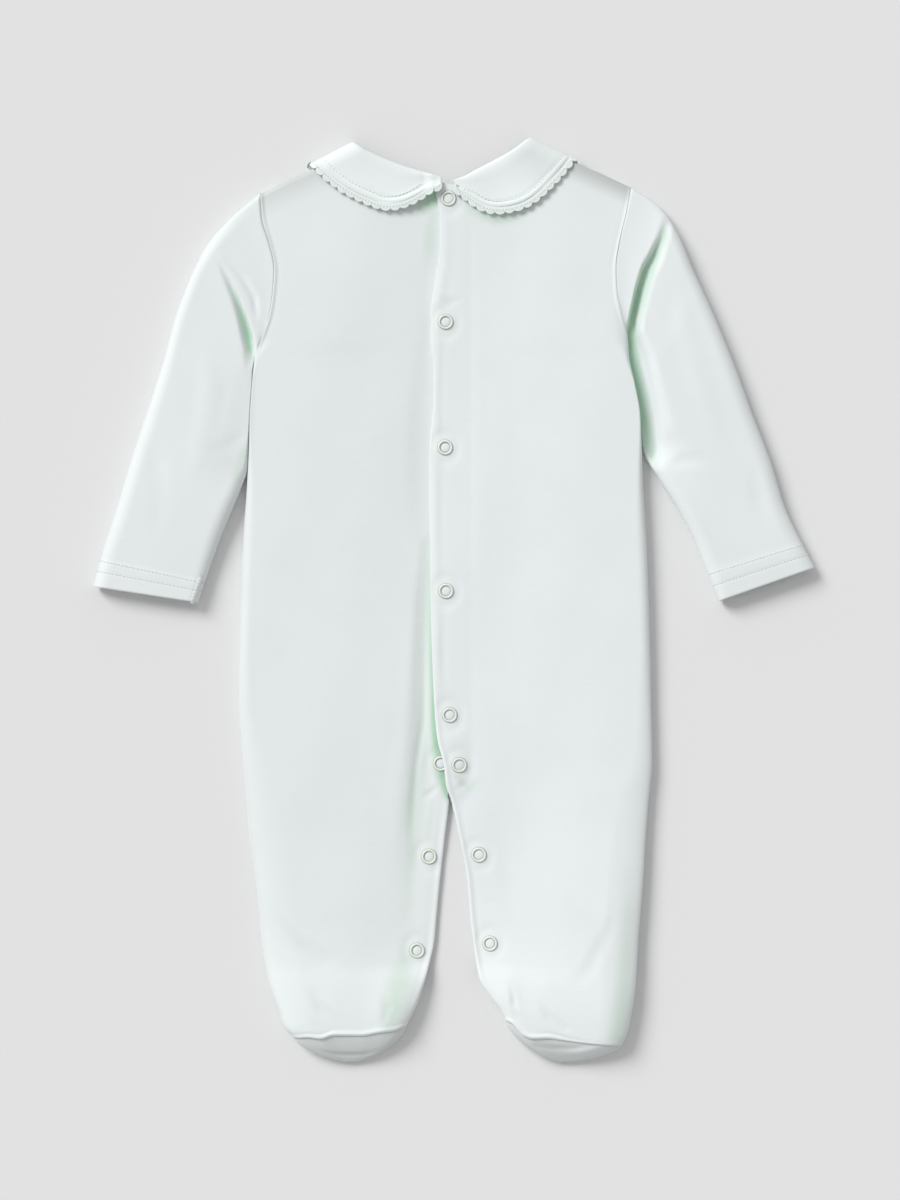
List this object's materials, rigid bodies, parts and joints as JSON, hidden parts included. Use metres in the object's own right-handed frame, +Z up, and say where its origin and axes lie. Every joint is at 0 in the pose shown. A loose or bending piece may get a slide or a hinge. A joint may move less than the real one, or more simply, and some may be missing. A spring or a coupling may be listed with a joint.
{
  "type": "footed baby sleepsuit",
  "caption": "Long-sleeved footed baby sleepsuit laid flat with its back up, with a picot-edged two-part collar and snap openings down the centre back and the inner legs.",
  "frame": {"origin": "on the surface that the garment lies on, under the middle of its outline", "axes": "+Y from the feet to the neck, +X across the back to the wearer's right, +Z up from the surface, out of the back"},
  "size_m": [0.4332, 0.5549, 0.0154],
  "materials": {
    "jersey": "matt cotton jersey, pale mint",
    "edging": "matt cotton picot edging, pale mint",
    "snap": "satin, pale cream green"
  },
  "bodies": {
    "root": {"front_panel": "jersey", "back_left": "jersey", "back_right": "jersey", "sleeve_left": "jersey", "sleeve_right": "jersey", "collar_left": "jersey", "collar_right": "jersey", "trim_left": "edging", "trim_right": "edging", "sole_left": "jersey", "sole_right": "jersey", "snap_back_1": "snap", "snap_back_2": "snap", "snap_back_3": "snap", "snap_back_4": "snap", "snap_back_5": "snap", "snap_leg_left_1": "snap", "snap_leg_left_2": "snap", "snap_leg_left_3": "snap", "snap_leg_right_1": "snap", "snap_leg_right_2": "snap", "snap_leg_right_3": "snap"}
  },
  "joints": []
}
